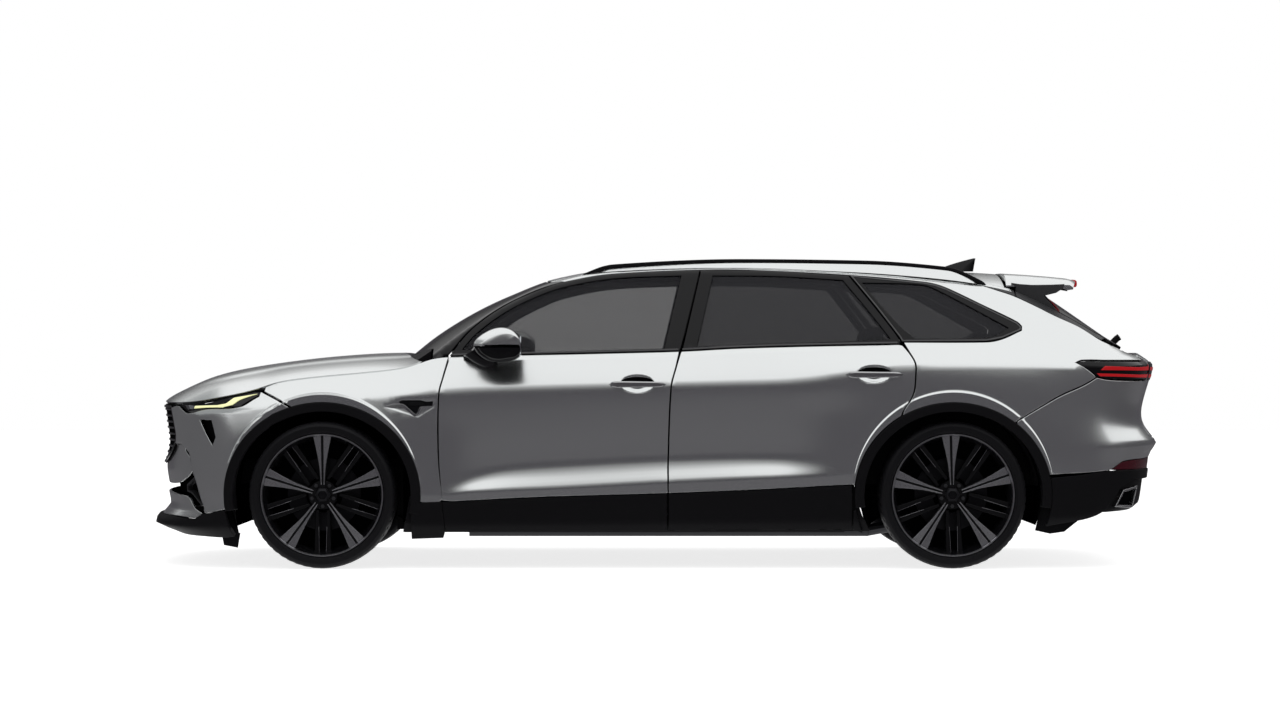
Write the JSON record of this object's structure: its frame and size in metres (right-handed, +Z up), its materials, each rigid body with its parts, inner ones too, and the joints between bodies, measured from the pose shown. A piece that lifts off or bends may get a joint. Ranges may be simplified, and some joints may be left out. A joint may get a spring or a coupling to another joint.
{
  "type": "shooting brake car",
  "caption": "Low, long-bonnet estate car with side doors, a top-hinged tailgate, a rear-hinged bonnet, paired-spoke wheels and a furnished cabin under a long glazed roof.",
  "frame": {"origin": "on the ground, under the middle of the car's overall length and width", "axes": "the car faces -X, its left side is -Y, +Z is up"},
  "size_m": [5.07, 2.23, 1.537],
  "materials": {
    "silver_paint": "metallic silver lacquer, glossy",
    "dark_trim": "grained black plastic",
    "tyre_rubber": "matt black rubber",
    "alloy": "machined and lacquered",
    "tinted_glass": "clear, tinted",
    "lamp_clear": "clear lens over bright reflectors",
    "lamp_red": "red translucent lens",
    "dark_steel": "dark coated metal",
    "seat_leather": "dark grained leather"
  },
  "bodies": {
    "body_shell": {"body_side_left": "silver_paint", "body_side_right": "silver_paint", "cowl": "dark_trim", "dashboard": "dark_trim", "engine_block": "dark_steel", "exhaust": "dark_steel", "floor_pan": "dark_trim", "front_bumper": "silver_paint", "front_seat_left": "seat_leather", "front_seat_right": "seat_leather", "front_subframe": "dark_steel", "front_wing_left": "silver_paint", "front_wing_right": "silver_paint", "grille": "dark_trim", "headlamp_left": "lamp_clear", "headlamp_right": "lamp_clear", "quarter_glass_left": "tinted_glass", "quarter_glass_right": "tinted_glass", "rear_axle": "dark_steel", "rear_bench": "seat_leather", "rear_bumper": "silver_paint", "roof": "silver_paint", "steering_wheel": "dark_trim", "tail_lamp_left": "lamp_red", "tail_lamp_right": "lamp_red", "windscreen": "tinted_glass"},
    "front_door_left": {"front_door_left": "silver_paint", "front_door_glass_left": "tinted_glass", "mirror_left": "silver_paint"},
    "rear_door_left": {"rear_door_left": "silver_paint", "rear_door_glass_left": "tinted_glass"},
    "knuckle_left": {"front_knuckle_left": "dark_steel"},
    "wheel_front_left": {"front_rim_left": "alloy", "front_tyre_left": "tyre_rubber"},
    "wheel_rear_left": {"rear_rim_left": "alloy", "rear_tyre_left": "tyre_rubber"},
    "front_door_right": {"front_door_right": "silver_paint", "front_door_glass_right": "tinted_glass", "mirror_right": "silver_paint"},
    "rear_door_right": {"rear_door_right": "silver_paint", "rear_door_glass_right": "tinted_glass"},
    "knuckle_right": {"front_knuckle_right": "dark_steel"},
    "wheel_front_right": {"front_rim_right": "alloy", "front_tyre_right": "tyre_rubber"},
    "wheel_rear_right": {"rear_rim_right": "alloy", "rear_tyre_right": "tyre_rubber"},
    "bonnet": {"bonnet": "silver_paint"},
    "tailgate": {"tailgate": "silver_paint", "tailgate_glass": "tinted_glass"}
  },
  "joints": [
    {"name": "front_door_left_hinge", "type": "hinge", "parent": "body_shell", "child": "front_door_left", "pos_m": [-1.054, -0.962, 0.63], "axis": [0, 0, -1], "range_deg": [0, 68]},
    {"name": "rear_door_left_hinge", "type": "hinge", "parent": "body_shell", "child": "rear_door_left", "pos_m": [0.068, -0.962, 0.63], "axis": [0, 0, -1], "range_deg": [0, 68]},
    {"name": "steering_left", "type": "hinge", "parent": "body_shell", "child": "knuckle_left", "pos_m": [-1.618, -0.715, 0.358], "axis": [0, 0, 1], "range_deg": [-35, 35]},
    {"name": "wheel_front_left_spin", "type": "hinge", "parent": "knuckle_left", "child": "wheel_front_left", "pos_m": [-1.618, -0.8325, 0.358], "axis": [0, 1, 0], "continuous": true},
    {"name": "wheel_rear_left_spin", "type": "hinge", "parent": "body_shell", "child": "wheel_rear_left", "pos_m": [1.448, -0.8325, 0.358], "axis": [0, 1, 0], "continuous": true},
    {"name": "front_door_right_hinge", "type": "hinge", "parent": "body_shell", "child": "front_door_right", "pos_m": [-1.054, 0.962, 0.63], "axis": [0, 0, 1], "range_deg": [0, 68]},
    {"name": "rear_door_right_hinge", "type": "hinge", "parent": "body_shell", "child": "rear_door_right", "pos_m": [0.068, 0.962, 0.63], "axis": [0, 0, 1], "range_deg": [0, 68]},
    {"name": "steering_right", "type": "hinge", "parent": "body_shell", "child": "knuckle_right", "pos_m": [-1.618, 0.715, 0.358], "axis": [0, 0, 1], "range_deg": [-35, 35]},
    {"name": "wheel_front_right_spin", "type": "hinge", "parent": "knuckle_right", "child": "wheel_front_right", "pos_m": [-1.618, 0.8325, 0.358], "axis": [0, 1, 0], "continuous": true},
    {"name": "wheel_rear_right_spin", "type": "hinge", "parent": "body_shell", "child": "wheel_rear_right", "pos_m": [1.448, 0.8325, 0.358], "axis": [0, 1, 0], "continuous": true},
    {"name": "bonnet_hinge", "type": "hinge", "parent": "body_shell", "child": "bonnet", "pos_m": [-1.13, 0, 1.056], "axis": [0, 1, 0], "range_deg": [0, 50]},
    {"name": "tailgate_hinge", "type": "hinge", "parent": "body_shell", "child": "tailgate", "pos_m": [1.745, 0, 1.47], "axis": [0, -1, 0], "range_deg": [0, 80]}
  ],
  "couplings": [
    {"joint": "steering_right", "follows": "steering_left", "ratio": 1}
  ]
}
